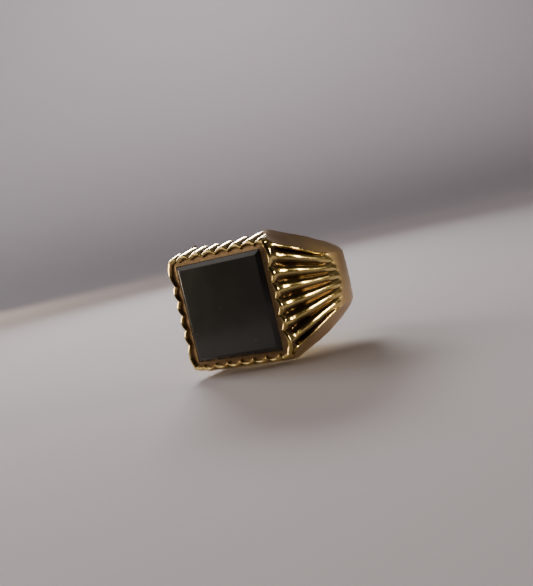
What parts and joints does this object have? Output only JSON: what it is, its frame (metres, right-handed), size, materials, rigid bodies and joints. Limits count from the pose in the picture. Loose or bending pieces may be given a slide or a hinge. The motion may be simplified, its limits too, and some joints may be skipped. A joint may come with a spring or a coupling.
{
  "type": "signet ring",
  "caption": "Signet ring: a flat square black stone with bevelled edges in a fluted head with a scalloped lip, ribbed shoulders and a plain band that narrows to the back.",
  "frame": {"origin": "centre of the finger hole", "axes": "+Z along the finger, -Y out of the head through the stone, +X to the right of someone who looks at the stone"},
  "size_m": [0.0204, 0.0219, 0.016],
  "materials": {
    "gold": "polished yellow gold",
    "onyx": "mirror polished, opaque black",
    "cement": "set jeweller's cement"
  },
  "bodies": {
    "root": {"shank": "gold", "right_shoulder": "gold", "left_shoulder": "gold", "fluted_collet": "gold", "head_base": "gold", "ledge_frame": "gold", "cement_bed": "cement", "onyx_tablet": "onyx"}
  },
  "joints": []
}
